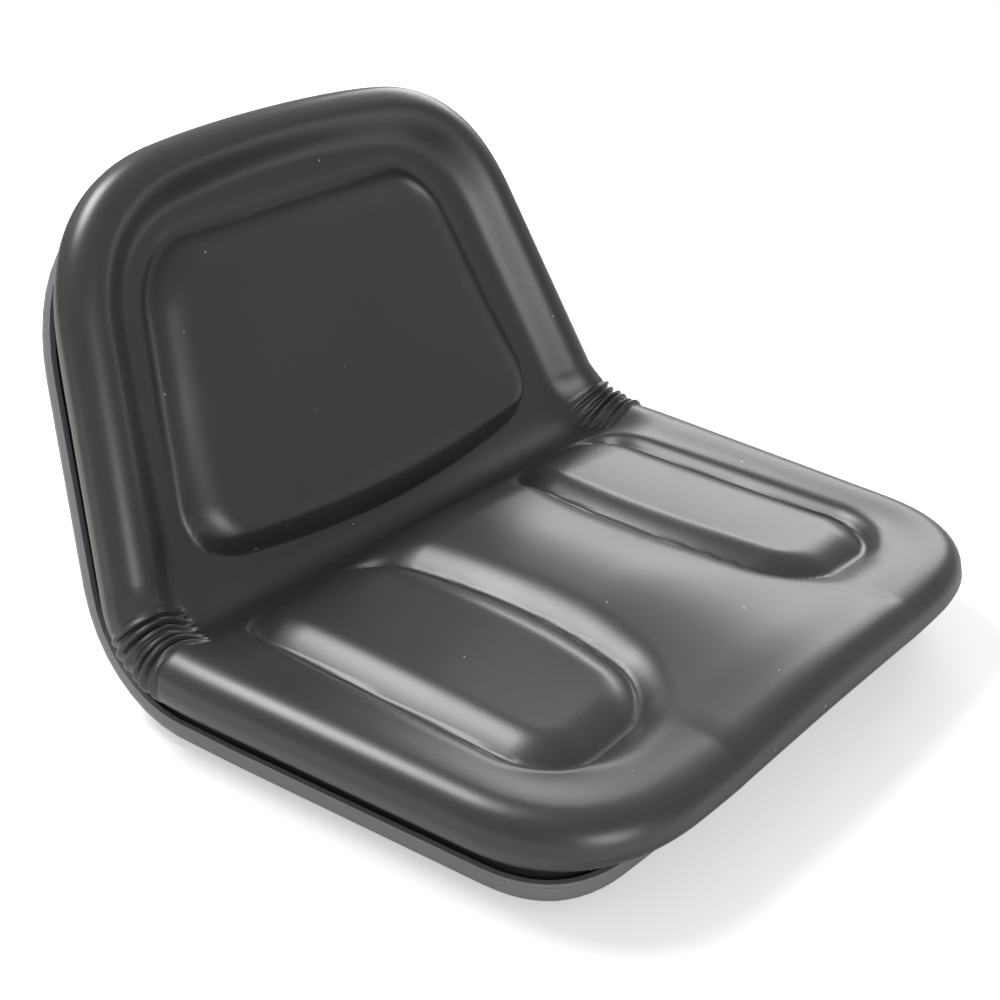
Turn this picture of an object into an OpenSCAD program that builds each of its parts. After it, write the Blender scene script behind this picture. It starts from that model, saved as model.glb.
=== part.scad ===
// Bucket seat for a small garden machine: a pressed steel pan, a padded cushion with a one-piece
// moulded vinyl cover, two boards inside it and the fasteners that hold it all together.
// +X is right as seen from the front, the front edge points to -Y and +Z is up.
// Everything is laid out on the rim sheet: s runs along the seat, round the bend and up the back,
// x runs across and h stands off the rim plane, so at(s, x, h) gives the real place of a point.

/* [Side form] */
// Radius of the bend between seat and back, at the rim
bend_r = 85; // [70:1:110]
// Angle of the back above the seat plane
lean = 67; // [55:1:80]

/* [Pan] */
// Seat length from the middle of the bend to the front of the pan
pan_front = 317; // [280:1:360]
// Back length from the middle of the bend to the top corners of the pan
pan_top = 262; // [220:1:300]
// Width of the pan at its front
pan_front_w = 420; // [360:1:460]
// Width of the pan at the bend
pan_bend_w = 464; // [400:1:500]
// Width of the pan at its top
pan_top_w = 350; // [300:1:400]
// Bow of the front edge between its corners
front_bow = 6; // [2:1:15]
// Rise of the pan's top edge between its corners
top_bow = 13; // [0:1:25]
// Size of the front corners
front_corner = 50; // [30:1:70]
// Size of the top corners
top_corner = 92; // [60:1:110]
// Height of the flange
pan_h = 16; // [12:0.5:24]
// Sheet thickness
sheet = 2; // [1.5:0.1:3]
// Radius between flange and floor
pan_r = 7; // [4:0.5:9]
// Outward lip along the rim
lip = 1.5; // [0.8:0.1:3]
// Depth of the pressed platform and channels
press_d = 7; // [6:0.5:9]
// Half width of the platform, out to the channels' outer edge
press_w = 112; // [95:1:125]
// Width of each channel
channel_w = 24; // [16:1:34]
// Length of the platform
press_l = 150; // [130:1:180]
// How far up the back the channels run
channel_end = 170; // [120:1:200]
// Drain hole
drain_d = 10; // [6:1:14]

/* [Fixing to the machine] */
// Spacing of the four weld nuts across
mount_dx = 150; // [120:1:160]
// Spacing of the four weld nuts front to back
mount_dy = 110; // [80:1:116]
// Pattern centre ahead of the middle of the bend
mount_s = 178; // [160:1:200]
// Thread of the weld nuts
mount_m = 8; // [6:1:10]
// Height of the weld nuts
weld_nut_h = 6; // [5:0.1:6.5]

/* [Cushion] */
// How far the cushion reaches past the pan at the sides
over_side = 12; // [4:0.5:16]
// How far the cushion reaches past the pan at the front
over_front = 27; // [10:1:34]
// How far the cushion reaches past the pan at the top
over_top = 16; // [6:1:24]
// Height of the bolster's crest above the rim
crest_h = 44; // [34:1:52]
// Width of the bolster
bolster_w = 52; // [44:1:62]
// Level of the recess in the seat
seat_level = 40; // [32:1:46]
// Level of the recess in the back
back_level = 27; // [22:1:34]
// Rise of the ridge between the leg pads
ridge_h = 16; // [6:1:22]
// Width of that ridge
ridge_w = 120; // [90:1:150]
// Thickness of the vinyl and its backing
skin = 1.8; // [1.4:0.1:2.5]

/* [Leg pads] */
// Front end of the leg pads, from the middle of the bend
pad_front = 284; // [260:1:292]
// Rear end of the leg pads
pad_rear = 42; // [30:1:60]
// Outer edge of the leg pads
pad_out = 174; // [160:1:182]
// Inner edge of the leg pads at half length
pad_in = 64; // [50:1:84]
// How far the inner edge swings out at both ends
pad_swing = 18; // [0:1:34]
// Rise of the leg pads
pad_h = 10; // [5:0.5:14]
// Width of the pads' sloping edge
pad_bevel = 22; // [14:1:28]

/* [Back panel] */
// Top edge of the back panel
panel_top = 232; // [215:1:242]
// Lower edge of the back panel at its corners
panel_low = 40; // [25:1:60]
// Sag of that edge at the middle
panel_sag = 30; // [0:1:34]
// Width of the back panel at the top
panel_top_w = 250; // [220:1:264]
// Width of the back panel at the bottom
panel_low_w = 336; // [300:1:344]
// Rise of the back panel at the top
panel_h = 9; // [5:0.5:14]
// Added rise at the bottom
panel_swell = 11; // [0:1:16]
// Depth of the grooves round pads and panel
groove_d = 4; // [1:0.5:6]
// Width of the grooves
groove_w = 11; // [7:0.5:16]

/* [Pleats] */
// Number of pleats in each bolster
pleats = 6; // [4:1:8]
// Distance from pleat to pleat
pleat_pitch = 10; // [8:0.5:12]
// Height of the pleats
pleat_h = 2.4; // [1:0.2:3.5]
// Middle of the pleats, ahead of the middle of the bend
pleat_s = 18; // [0:1:30]

/* [Boards and screws] */
// Board thickness
board_t = 9; // [6:0.5:12]
// Screw thread
screw_m = 6; // [5:1:6]
// Spacing of the seat screws across
screw_dx = 290; // [270:1:310]
// Front seat screws, from the middle of the bend
screw_front = 262; // [240:1:275]
// Rear seat screws, from the middle of the bend
screw_rear = 100; // [95:1:130]
// Spacing of the back screws
back_screw_dx = 110; // [90:1:130]
// Height of the back screws, from the middle of the bend
back_screw_s = 190; // [150:1:205]
// Washer thickness
washer_t = 1.5; // [1:0.1:2]
// Screw head height
head_h = 4; // [3:0.1:4.3]
// Clearance of screws in their holes
hole_gap = 0.3; // [0.2:0.1:0.8]

/* [Hidden] */
gap = 0.3;
bend_l = bend_r * lean * PI / 360;
rest_h = -pan_h - press_d;
shift = [0, mount_s - bend_l, -rest_h];
fold_a = -pleat_s - pleats * pleat_pitch / 2;
fold_b = -pleat_s + pleats * pleat_pitch / 2;
tuck = sheet + 0.7;
tuck_h = -9;
board_top = -pan_h + sheet + board_t;
nut_flange_t = 1.5;

// Rim sheet to space
function at(s, x, h) =
    let (b = abs(s) <= bend_l, t = s < -bend_l ? 0 : b ? (s + bend_l) / bend_r * 180 / PI : lean,
         r = b ? 0 : s < 0 ? s + bend_l : s - bend_l)
    [x, (bend_r - h) * sin(t) + r * cos(t), bend_r - (bend_r - h) * cos(t) + r * sin(t)] + shift;

// Outlines in [s, x]: the right half, from the front middle to the top middle.
function unit(v) = v / norm(v);
function bez(a, c, b, n) =
    [for (i = [0 : n]) let (t = i / n) a * (1 - t) * (1 - t) + 2 * c * t * (1 - t) + b * t * t];
function corner(a, b, c, d) = [b + unit(a - b) * d, b, b + unit(c - b) * d];
// g moves the pan's outline outwards: front, sides at the front, sides at the bend, top, sides at the top
function half_line(g, df, dt, nc) =
    let (m0 = [-pan_front - g[0] - front_bow, 0], a1 = [-pan_front - g[0], pan_front_w / 2 + g[1]],
         a2 = [-pleat_s, pan_bend_w / 2 + g[2]], a3 = [pan_top + g[3], pan_top_w / 2 + g[4]],
         m4 = [pan_top + g[3] + top_bow, 0], k1 = [m0[0], a1[1] * 0.5], k4 = [m4[0], a3[1] * 0.3],
         c1 = corner(k1, a1, a2, df), c2 = corner(a1, a2, a3, 62), c3 = corner(a2, a3, k4, dt),
         p1 = bez(c1[0], c1[1], c1[2], nc), p3 = bez(c3[0], c3[1], c3[2], nc), h = nc / 2)
    [concat(bez(m0, k1, p1[0], 8), [for (i = [1 : h]) p1[i]]),
     concat([for (i = [h : nc]) p1[i]], bez(c2[0], c2[1], c2[2], 8), [for (i = [0 : h]) p3[i]]),
     concat([for (i = [h : nc - 1]) p3[i]], bez(p3[nc], k4, m4, 8))];
function even(g) = [g, g, g, g, g];
function by_s(p, levels) = [for (s = levels) [s, lookup(s, p)]];
function closed(r) = concat(r, [for (i = [len(r) - 2 : -1 : 1]) [r[i][0], -r[i][1]]]);
function flip2(p) = [for (v = p) [v[1], v[0]]];
function back_to_front(p) = [for (i = [len(p) - 1 : -1 : 0]) p[i]];

// Height of the padded surface above the rim plane
function clamp(v) = min(1, max(0, v));
function ease(v) = let (t = clamp(v)) t * t * (3 - 2 * t);
function box_d(p, b, r) = let (q = [abs(p[0]) - b[0] + r, abs(p[1]) - b[1] + r])
    min(max(q[0], q[1]), 0) + norm([max(q[0], 0), max(q[1], 0)]) - r;
function box_n(p, b, r) =
    let (q = [abs(p[0]) - b[0] + r, abs(p[1]) - b[1] + r], g = [p[0] < 0 ? -1 : 1, p[1] < 0 ? -1 : 1])
    q[0] > 0 && q[1] > 0 ? [q[0] * g[0], q[1] * g[1]] / norm(q) : q[0] > q[1] ? [g[0], 0] : [0, g[1]];
// leg pad: straightened to a rounded box
pad_c = -(pad_front + pad_rear) / 2;
pad_half = [(pad_front - pad_rear) / 2, (pad_out - pad_in) / 2];
function pad_edge(s) = pad_in + pad_swing * pow(max(-1, min(1, (s - pad_c) / pad_half[0])), 2);
function pad_p(s, x) = let (a = pad_edge(s), k = pad_half[1] / ((pad_out - a) / 2))
    [s - pad_c, (abs(x) - (pad_out + a) / 2) * k];
function pad_back(p, x) = let (s = p[0] + pad_c, a = pad_edge(s), k = pad_half[1] / ((pad_out - a) / 2))
    [s, (x < 0 ? -1 : 1) * (p[1] / k + (pad_out + a) / 2)];
pad_corner = 32;
// back panel: likewise
panel_c = (panel_top + panel_low) / 2;
panel_half = [(panel_top - panel_low) / 2, (panel_top_w + panel_low_w) / 4];
function panel_w(s) =
    panel_low_w / 2 + (panel_top_w - panel_low_w) / 2 * (s - panel_low) / (panel_top - panel_low);
function panel_foot(x) = panel_low - panel_sag * (1 - pow(min(1, abs(x) * 2 / panel_low_w), 2));
function panel_p(s, x) =
    let (f = panel_foot(x)) [((s - f) / (panel_top - f) * 2 - 1) * panel_half[0], x * panel_half[1] / panel_w(s)];
function panel_back(p, s0, x0) =
    let (s = panel_foot(x0) + (p[0] / panel_half[0] + 1) / 2 * (panel_top - panel_foot(x0)))
    [s, p[1] * panel_w(s) / panel_half[1]];
panel_corner = 38;

function ridge(s, x) =
    ridge_h * exp(-pow(x / ridge_w, 2) * 1.6) * ease((-s - 20) / 70) * (1 - 0.45 * ease((-s - 200) / 110));
function level(s) = seat_level + (back_level - seat_level) * ease((s + 90) / 90);
function groove(d) = -groove_d * pow(1 - clamp(abs(d) / groove_w), 1.4);
function pad_top(s, x) = let (d = box_d(pad_p(s, x), pad_half, pad_corner))
    pad_h * ease(-d / pad_bevel + 0.05) + groove(d) * ease((-s - pad_rear - 12) / 40);
function panel_rise(s, x) =
    let (p = panel_p(s, x), d = box_d(p, panel_half, panel_corner), low = clamp(-p[0] / panel_half[0]))
    (panel_h + panel_swell * low * low) * ease(-d / (22 - 6 * low) + 0.05) + groove(d) * (1 - 0.6 * low);
function top_h(s, x) = level(s) + ridge(s, x) + pad_top(s, x) + panel_rise(s, x);

// Lines of the padded sheet. They follow the edges of pads and panel, so that the grooves stay crisp.
// Columns run from the middle to the pads' outer edge (col_e), then on to the bolster's foot.
col_e = 11;
half_cols = 13;
// Rows run from the front foot over the pads' front edge (row_f), the pleats and the panel's top (row_t)
row_f = 3;
row_a = 11;
row_b = row_a + 2 * pleats;
row_t = row_b + 9;
rows = row_t + 3;
function cols_seat(s) =
    let (a = pad_edge(s), b = pad_out, g = groove_w, u = a + pad_bevel, v = b - pad_bevel)
    [0, 0.45 * (a - g), 0.8 * (a - g), a - 0.8 * g, a, a + 0.6 * g, u, u + (v - u) / 3, v - (v - u) / 3,
     v, b - 0.6 * g, b];
function cols_back(s) = let (w = panel_w(s))
    concat([for (k = [0, 0.12, 0.22, 0.3, 0.38, 0.46, 0.56, 0.66, 0.76]) k * w],
        [w - 20, w - 0.6 * groove_w, w]);
function col_at(s, j) = let (e = ease((s + pad_rear + 4) / 60))
    cols_seat(s)[j] * (1 - e) + cols_back(max(s, panel_low - panel_sag))[j] * e;
// The bolster's foot and its stations: front half by x, side by s, top half by x
foot_g = [over_front - bolster_w, pad_out + 6 - pan_front_w / 2, over_side - bolster_w,
    over_top - 0.75 * bolster_w, 0.6 * over_side - 0.8 * bolster_w];
foot = half_line(foot_g, front_corner * 0.6, top_corner * 0.62, 16);
foot_f = flip2(foot[0]);
foot_t = flip2(back_to_front(foot[2]));
foot_xf = foot_f[len(foot_f) - 1][0];
foot_xt = foot_t[len(foot_t) - 1][0];
foot_s0 = foot[1][0][0];
foot_s1 = foot[1][len(foot[1]) - 1][0];
function row_at(r, x) =
    let (a = -pad_front, b = panel_foot(x), c = panel_top, u = a + pad_bevel, v = fold_a - 14, p = b + 14,
         q = c - 20, k = r - row_b)
    r <= row_f ? a : r == row_f + 1 ? a + 0.6 * groove_w : r < row_a ? u + (v - u) * (r - row_f - 2) / 5
    : r <= row_b ? fold_a + (b - fold_a) * (r - row_a) / (row_b - row_a)
    : k == 1 ? b + 5 : k < 8 ? p + (q - p) * (k - 2) / 5 : k == 8 ? c - 0.6 * groove_w : c;
function side_s(r) = let (m = 0.6 * pad_out, a = -pad_front + 22, c = panel_top - 22,
        v = fold_a, w = row_at(row_b, m))
    r < row_f ? foot_s0 + (a - foot_s0) * r / row_f
    : r < row_a ? a + (v - a) * (row_at(r, m) - row_at(row_f, m)) / (v - row_at(row_f, m))
    : r <= row_b ? fold_a + (fold_b - fold_a) * (r - row_a) / (row_b - row_a)
    : r <= row_t ? fold_b + (c - fold_b) * (row_at(r, m) - w) / (panel_top - w)
    : c + (foot_s1 - c) * (r - row_t) / (rows - row_t);
function end_x(j, s, xe) = xe * (j <= col_e ? 0.88 * col_at(s, j) / col_at(s, col_e)
    : 0.88 + 0.12 * (j - col_e) / (half_cols - col_e));
F = concat(
    [for (j = [0 : half_cols]) let (x = end_x(j, -pad_front, foot_xf)) [lookup(x, foot_f), x]],
    [for (r = [1 : rows - 1]) [side_s(r), lookup(side_s(r), foot[1])]],
    [for (j = [half_cols : -1 : 0]) let (x = end_x(j, panel_top, foot_xt)) [lookup(x, foot_t), x]]);
// Outward direction at each station, and how far the pan's wall and the cushion's outer line are from it
F_n = len(F) - 1;
F_dir = [for (i = [0 : F_n]) i == 0 ? [-1, 0] : i == F_n ? [1, 0]
    : let (t = unit(unit(F[i] - F[i - 1]) + unit(F[i + 1] - F[i]))) [-t[1], t[0]]];
function hit(p, d, line) = min([for (i = [0 : len(line) - 2])
    let (e = line[i + 1] - line[i], w = line[i] - p, k = cross(d, e), t = cross(w, e) / k, u = cross(w, d) / k)
    if (abs(k) > 0.0001 && t > 0 && u > -0.001 && u < 1.001) t]);
function path(parts) = concat([[parts[0][0][0], -5]], parts[0], parts[1], parts[2],
    [[parts[2][len(parts[2]) - 1][0], -5]]);
wall_line = path(half_line(-tuck * [1, 1, 1, 1, 0.6], front_corner, top_corner, 16));
outer_line = path(half_line([over_front, over_side, over_side, over_top, 0.6 * over_side],
    front_corner * 1.7, top_corner * 0.92, 16));
F_wall = [for (i = [0 : F_n]) hit(F[i], F_dir[i], wall_line)];
F_out = [for (i = [0 : F_n]) hit(F[i], F_dir[i], outer_line)];
// rounds the corners of a field of lines that follows a square-cornered edge
function round_off(p, b, r) = let (q = max(abs(p[0]) - b[0], abs(p[1]) - b[1]))
    p - box_n(p, b, r) * (box_d(p, b, r) - q) * ease((12 - q) / 8);
function core(r, j) =
    let (s = row_at(r, col_at(r < row_a ? -pad_front : panel_low, j)), x = col_at(s, j))
    s < -pad_rear ? pad_back(round_off(pad_p(s, x), pad_half, pad_corner), x)
    : s > 0 ? panel_back(round_off(panel_p(s, x), panel_half, panel_corner), s, x) : [s, x];
// patch between a core corner c, two neighbours e and f on the foot and the foot's corner g
function patch(c, e, f, g, ea, fa, a, b) =
    (c * (1 - b) + e * b) * (1 - a) + fa * a + (c * (1 - a) + f * a) * (1 - b) + ea * b
    - (c * (1 - a) * (1 - b) + f * a * (1 - b) + e * (1 - a) * b + g * a * b);
function inner_half(r, j) =
    let (k = clamp((j - col_e) / (half_cols - col_e)), u = clamp((row_f - r) / row_f),
         w = clamp((r - row_t) / (rows - row_t)), side = half_cols + r, top = F_n - j)
    u > 0 && k > 0 ? patch(core(row_f, col_e), F[col_e], F[half_cols + row_f], F[half_cols],
        F[j], F[side], k, u)
    : w > 0 && k > 0 ? patch(core(row_t, col_e), F[F_n - col_e], F[half_cols + row_t], F[half_cols + rows],
        F[top], F[side], k, w)
    : k > 0 ? core(r, col_e) * (1 - k) + F[side] * k
    : u > 0 ? core(row_f, j) * (1 - u) + F[j] * u
    : w > 0 ? core(row_t, j) * (1 - w) + F[top] * w : core(r, j);
function inner_pt(r, i) = let (v = inner_half(r, abs(i))) [v[0], i < 0 ? -v[1] : v[1]];
function pleat(s) = s < fold_a || s > fold_b ? 0
    : -pleat_h * cos(360 * (s - fold_a) / pleat_pitch) * ease((s - fold_a + 3) / 8)
        * ease((fold_b - s + 3) / 8);

// Bolster section from the tuck in the pan up over the crest: [place, height, pleat share out, share up].
// Place 0..1 runs from the pan's wall to the outer line, 1..2 from there to the bolster's foot.
section = [[0, tuck_h, 0, 0], [0, 1.2, 0, 0], [0.3, 3, 0, 0], [0.6, 6.5, 0.2, 0], [0.84, 12, 0.5, 0],
    [0.96, 18, 0.9, 0], [1, 24, 1, 0], [1.03, 30, 1, 0.2], [1.1, 36, 0.8, 0.6], [1.22, 40, 0.5, 1],
    [1.38, 42, 0, 1], [1.55, 41, -0.2, 0.9], [1.75, 38, -0.3, 0.6], [2, 33, 0, 0]];
crest_at = 1.38;
// lines of the coarser inside
sub_sec = [0, 1, 3, 5, 7, 9, 10, 12, 13];
sub_col = [0, 2, 4, 6, 9, 11, 13];
sub_row = concat([0, 3, 5, 7, 9, 10], [for (k = [0 : pleats / 2]) row_a + k * 4], pleats % 2 == 0 ? [] : [row_b],
    [for (k = [2, 3, 5, 7, 9, 12]) row_b + k]);
all_sec = [for (i = [0 : len(section) - 1]) i];
all_col = [for (i = [0 : half_cols]) i];
all_row = [for (i = [0 : rows]) i];
function both(c) = concat([for (i = [len(c) - 1 : -1 : 1]) -c[i]], c);
// numbers of the stations, right half and then left, that belong to a choice of columns and rows
function stations(c, r) =
    let (half = concat(c, [for (i = [1 : len(r) - 2]) half_cols + r[i]],
        [for (i = [len(c) - 1 : -1 : 0]) F_n - c[i]]))
    concat(half, [for (i = [len(half) - 2 : -1 : 1]) 2 * F_n - half[i]]);
// place of station i at distance t from the foot
function ray(i, t) = let (k = min(i, 2 * F_n - i), p = F[k] + F_dir[k] * t) [p[0], i > F_n ? -p[1] : p[1]];
F_crest = [for (p = F) crest_h + 0.7 * max(0, top_h(p[0], p[1]) - crest_h)];
function rise(v, h, q, c) = let (t = clamp((q - crest_at) / (2 - crest_at)))
    q <= crest_at ? (h <= 0 ? h : h * c / 42) : c + (top_h(v[0], v[1]) - c) * ease(t);

// One padded sheet: fine is the outside, otherwise the coarser inside, in is the distance below the outside
function sheet_pts(fine, in) =
    let (c = fine ? all_col : sub_col, r = fine ? all_row : sub_row, cc = both(c),
         rings = [for (n = fine ? all_sec : sub_sec) let (q = section[n]) [for (i = stations(c, r))
             let (k = min(i, 2 * F_n - i), tw = F_wall[k] - in, to = F_out[k] - in,
                  pl = fine ? pleat(F[k][0]) : F[k][0] >= fold_a - 1 && F[k][0] <= fold_b + 1 ? -pleat_h : 0,
                  v = ray(i, (q[0] <= 1 ? tw + (to - tw) * q[0] : to * (2 - q[0])) + pl * q[2]),
                  lift = q[0] > 1 ? -in * clamp((q[0] - 1) * 8) : q[1] > 0 ? in * (1 - q[0]) : 0)
             at(v[0], v[1], rise(v, q[1], q[0], F_crest[k]) + pl * q[3] + lift)]],
         grid = [for (k = [1 : len(r) - 2]) for (i = [1 : len(cc) - 2])
             let (v = inner_pt(r[k], cc[i])) at(v[0], v[1], fine ? top_h(v[0], v[1]) : low_h(v, 5) - in)])
    concat([for (ring = rings) each ring], grid);
function low_h(v, d) = min([for (a = [-d : d : d]) for (b = [-d : d : d]) top_h(v[0] + a, v[1] + b)]);
function vid(nx, ny, ns, i, j) = let (N = 2 * (nx + ny), o = (ns - 1) * N)
    j == 0 ? o + (N - nx / 2 + i) % N : j == ny ? o + nx + ny + nx / 2 - i : i == 0 ? o + N - nx / 2 - j
    : i == nx ? o + nx / 2 + j : ns * N + (j - 1) * (nx - 1) + i - 1;
function quad(a, b, c, d, flip) = flip ? [[a, b, d], [b, c, d]] : [[a, b, c], [a, c, d]];
function flipped(f, on) = on ? [for (t = f) [t[2], t[1], t[0]]] : f;
function sheet_faces(fine) =
    let (nx = 2 * len(fine ? all_col : sub_col) - 2, ny = len(fine ? all_row : sub_row) - 1,
         ns = len(fine ? all_sec : sub_sec), N = 2 * (nx + ny))
    concat(
        [for (r = [0 : ns - 2]) for (i = [0 : N - 1]) let (j = (i + 1) % N)
            each quad(r * N + i, r * N + j, (r + 1) * N + j, (r + 1) * N + i, i >= N / 2)],
        [for (j = [0 : ny - 1]) for (i = [0 : nx - 1])
            let (a = vid(nx, ny, ns, i, j), b = vid(nx, ny, ns, i + 1, j), c = vid(nx, ny, ns, i + 1, j + 1),
                 d = vid(nx, ny, ns, i, j + 1))
            each quad(a, b, c, d, i < nx / 2)]);
function moved(f, n) = [for (t = f) [t[0] + n, t[1] + n, t[2] + n]];

module vinyl_cover() {
    a = sheet_pts(true, 0);
    b = sheet_pts(false, skin);
    n = 2 * F_n;
    o = len(a);
    st = stations(sub_col, sub_row);
    m = len(st);
    edge = [for (k = [0 : m - 1]) let (p = st[k], q = k == m - 1 ? n : st[k + 1])
        each concat([for (i = [p : q - 1]) [i, o + k, (i + 1) % n]], [[q % n, o + k, o + (k + 1) % m]])];
    inner = flipped(moved(sheet_faces(false), o), true);
    color("#3a3a38") polyhedron(concat(a, b), flipped(concat(sheet_faces(true), edge, inner), true), 6);
}

// Foam: fills the cover down to the boards and, at the bend, down to the pan
f_st = stations(sub_col, sub_row);
f_n = len(f_st);
f_line = [for (i = f_st) ray(i, F_wall[min(i, 2 * F_n - i)] - 13 + tuck)];
f_seat = len(sub_col) - 1 + 5;
f_back = len(sub_col) - 1 + len(sub_row) - 6;
seat_board_end = f_line[f_seat][0] - 1.5;
back_board_end = f_line[f_back][0] + 1.5;
module foam_core() {
    a = sheet_pts(false, skin);
    o = len(a);
    n = f_n;
    low = [for (i = [0 : n - 1]) let (j = min(i, n - i), over = j <= f_seat || j >= f_back)
        at(f_line[i][0], f_line[i][1], over ? board_top + gap : sheet - pan_h + gap + 0.1)];
    side = [for (i = [0 : n - 1]) each quad(i, (i + 1) % n, o + (i + 1) % n, o + i, i >= n / 2)];
    floor = [for (i = [0 : n / 2 - 1])
        let (p = o + i, q = o + i + 1, r = o + (n - i - 1) % n, t = o + (n - i) % n)
        each i == 0 ? [[p, q, r]] : i == n / 2 - 1 ? [[p, q, t]] : [[p, q, r], [p, r, t]]];
    color("#d8c98e") polyhedron(concat(a, low), concat(flipped(sheet_faces(false), true), side, floor), 6);
}

// Pan: flange, radius and floor with a pressed platform and two channels round the bend
press_a = -mount_s - press_l / 2;
press_b = -mount_s + press_l / 2;
function press(s, x) =
    let (px = clamp((press_w + 4 - abs(x)) / 4), cx = px * clamp((abs(x) - press_w + channel_w + 4) / 4),
         a = clamp((s - press_a) / 6 + 1))
    press_d * max(px * a * clamp((press_b - s) / 6 + 1), cx * a * clamp((channel_end - s) / 6 + 1));
function sorted(v) = len(v) < 2 ? v : let (m = v[floor(len(v) / 2)])
    concat(sorted([for (a = v) if (a < m) a]), [for (a = v) if (a == m) a], sorted([for (a = v) if (a > m) a]));
function spaced(v, d) = let (e = len(v) - 1)
    [for (i = [0 : e]) if (i == 0 || i == e || (v[i] - v[i - 1] > d && v[e] - v[i] > d)) v[i]];
p_half = let (q = half_line(even(0), front_corner, top_corner, 12), n = len(q[1]),
              extra = [press_a - 6, press_a, press_b, press_b + 6, channel_end, channel_end + 6],
              bend = [for (i = [0 : 8]) bend_l * (i / 4 - 1)],
              first = [for (i = [0 : 6]) q[1][i][0]], last = [for (i = [n - 7 : n - 1]) q[1][i][0]],
              lv = spaced(sorted(concat(first, bend, extra, last)), 1.2))
    concat([for (i = [0 : len(q[0]) - 2]) if (i > 7 || i % 2 == 0) q[0][i]], by_s(q[1], lv),
        [for (i = [1 : len(q[2]) - 1]) if (i < 7 || i % 2 == 0) q[2][i]]);
p_line = closed(p_half);
p_n = len(p_line);
function p_off(u) = [for (i = [0 : p_n - 1])
    let (a = p_line[(i + p_n - 1) % p_n], b = p_line[i], c = p_line[(i + 1) % p_n],
         t = unit(unit(b - a) + unit(c - b))) b + [-t[1], t[0]] * u];
pan_ri = pan_r - sheet;
pan_out = [[lip, 0], [lip, -2.2], [0, -4],
    for (a = [0 : 30 : 90]) [pan_r * (cos(a) - 1), pan_r * (1 - sin(a)) - pan_h]];
pan_in = [[-sheet, 0], for (a = [0 : 30 : 90]) [pan_ri * cos(a) - pan_r, pan_r - pan_ri * sin(a) - pan_h]];
pan_cols = let (a = press_w + 4, b = press_w, c = press_w - channel_w, d = c - 4) [-a, -b, -c, -d, d, c, b, a];
module pan_shell() {
    secs = concat(pan_out, [for (i = [len(pan_in) - 1 : -1 : 0]) pan_in[i]]);
    rings = [for (q = secs) let (l = p_off(q[0])) [for (p = l) at(p[0], p[1], q[1])]];
    n_out = len(pan_out);
    n_all = len(secs);
    h = p_n / 2;
    nc = len(pan_cols);
    edge = p_off(-pan_r);
    rows_at = [for (i = [1 : h - 1]) let (s = abs(edge[i][0] - p_line[i][0]) < 1.2 ? p_line[i][0] : edge[i][0])
        [for (c = pan_cols) [s, c * min(1, (edge[i][1] - 3) / (press_w + 9))]]];
    lower = [for (r = rows_at) for (p = r) at(p[0], p[1], -pan_h - press(p[0], p[1]))];
    upper = [for (r = rows_at) for (p = r) at(p[0], p[1], sheet - pan_h - press(p[0], p[1]))];
    o = n_all * p_n;
    function id(up, i, c) = let (ring = (up ? n_out : n_out - 1) * p_n)
        i == 0 || i == h ? ring + i : c < 0 ? ring + p_n - i : c >= nc ? ring + i
        : o + (up ? (h - 1) * nc : 0) + (i - 1) * nc + c;
    walls = [for (r = [0 : n_all - 1]) if (r != n_out - 1) for (i = [0 : p_n - 1])
        let (s = (r + 1) % n_all, j = (i + 1) % p_n)
        each quad(r * p_n + i, r * p_n + j, s * p_n + j, s * p_n + i, i >= h)];
    floors = [for (up = [false, true]) for (i = [0 : h - 1]) for (c = [-1 : nc - 1])
        let (a = id(up, i, c), b = id(up, i, c + 1), d = id(up, i + 1, c + 1), e = id(up, i + 1, c),
             q = quad(a, b, d, e, c < nc / 2)) for (t = q)
            if (t[0] != t[1] && t[1] != t[2] && t[0] != t[2]) up ? [t[2], t[1], t[0]] : t];
    polyhedron(concat([for (r = rings) each r], lower, upper), concat(walls, floors), 6);
}

// Places on the sheet, with Z along the normal
module on_sheet(s, x, h) { translate(at(s, x, h)) rotate([s > bend_l ? lean : 0, 0, 0]) children(); }
nut_places = [for (i = [-1, 1]) for (j = [-1, 1]) [-mount_s + j * mount_dy / 2, i * mount_dx / 2]];
screw_places = concat([for (s = [-screw_front, -screw_rear]) for (i = [-1, 1]) [s, i * screw_dx / 2]],
    [for (i = [-1, 1]) [back_screw_s, i * back_screw_dx / 2]]);

module seat_pan() {
    color("#55565a") difference() {
        pan_shell();
        for (p = nut_places) on_sheet(p[0], p[1], rest_h - 1)
            cylinder(d = mount_m + 1, h = sheet + 2, $fn = 32);
        for (p = screw_places) on_sheet(p[0], p[1], -pan_h - 1)
            cylinder(d = screw_m + 2 * hole_gap, h = sheet + 2, $fn = 32);
        for (x = [-1, 1]) on_sheet(-mount_s, x * (press_w - channel_w / 2), rest_h - 1)
            cylinder(d = drain_d, h = sheet + 2, $fn = 32);
    }
}

module weld_nut(i) {
    color("#9a9a98") on_sheet(nut_places[i][0], nut_places[i][1], rest_h + sheet) difference() {
        cylinder(d = mount_m * 1.85, h = weld_nut_h, $fn = 6);
        translate([0, 0, -1]) cylinder(d = mount_m, h = weld_nut_h + 2, $fn = 32);
    }
}

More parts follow.
